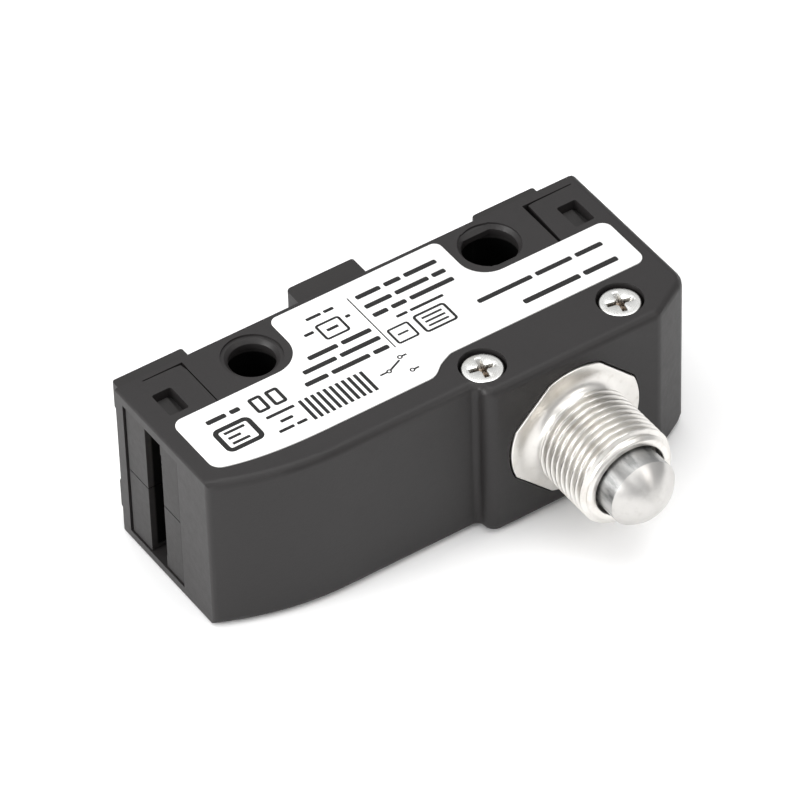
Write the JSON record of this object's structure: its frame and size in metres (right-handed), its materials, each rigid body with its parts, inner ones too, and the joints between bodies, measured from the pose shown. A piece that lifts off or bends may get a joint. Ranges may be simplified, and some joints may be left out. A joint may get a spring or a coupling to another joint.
{
  "type": "limit switch",
  "caption": "Snap-action limit switch: black moulded body with label, screw terminals at the back, mounting holes and a threaded panel bushing with a domed plunger.",
  "frame": {"origin": "on the mounting face, midway between the axes of the two mounting holes", "axes": "+X along the body from the left end to the bushing end, +Y towards the screw terminals, with the plunger pointing to -Y, +Z out of the label face"},
  "size_m": [0.0493, 0.0352, 0.0176],
  "materials": {
    "case_plastic": "fine satin moulded black phenolic",
    "base_plastic": "matte moulded black phenolic",
    "label_film": "smooth off-white printed film",
    "nickel_plate": "bright nickel plate over turned brass",
    "plunger_steel": "polished turned stainless steel",
    "spring_steel": "drawn spring wire",
    "zinc_steel": "bright zinc plate",
    "pin_plastic": "natural moulded plastic",
    "terminal_brass": "plain stamped brass",
    "contact_silver": "silver alloy rivet",
    "blade_copper": "rolled copper-alloy spring sheet"
  },
  "bodies": {
    "root": {"case": "case_plastic", "rating_label": "label_film", "base_half_lower": "base_plastic", "base_half_upper": "base_plastic", "threaded_bushing": "nickel_plate", "return_spring": "spring_steel", "spring_seat_washer": "zinc_steel", "retaining_ring": "spring_steel", "bushing_screw_left": "zinc_steel", "bushing_screw_right": "zinc_steel", "terminal_common": "terminal_brass", "terminal_no": "terminal_brass", "terminal_nc": "terminal_brass", "clamp_plate_common": "zinc_steel", "clamp_plate_no": "zinc_steel", "clamp_plate_nc": "zinc_steel", "terminal_screw_common": "zinc_steel", "terminal_screw_no": "zinc_steel", "terminal_screw_nc": "zinc_steel", "fixed_contact_nc": "contact_silver", "fixed_contact_no": "contact_silver"},
    "plunger": {"plunger": "plunger_steel", "overtravel_spring": "spring_steel"},
    "pin": {"push_pin": "pin_plastic"},
    "blade": {"snap_blade": "blade_copper", "moving_contact": "contact_silver", "snap_tongue": "blade_copper"}
  },
  "joints": [
    {"name": "plunger_slide", "type": "slide", "parent": "root", "child": "plunger", "axis": [0, 1, 0], "range_m": [0, 0.004], "stiffness_N_per_m": 1200, "springref_m": -0.002, "deforming": ["return_spring", "overtravel_spring"]},
    {"name": "pin_slide", "type": "slide", "parent": "root", "child": "pin", "axis": [0, 1, 0], "range_m": [0, 0.00052]},
    {"name": "blade_swing", "type": "hinge", "parent": "root", "child": "blade", "pos_m": [0.0205, -0.0072, 0.00875], "axis": [0, 0, -1], "range_deg": [0, 2.9]}
  ],
  "couplings": [
    {"joint": "pin_slide", "follows": "plunger_slide", "ratio": 0.125},
    {"joint": "blade_swing", "follows": "plunger_slide", "rad_per_m": 12.2}
  ]
}
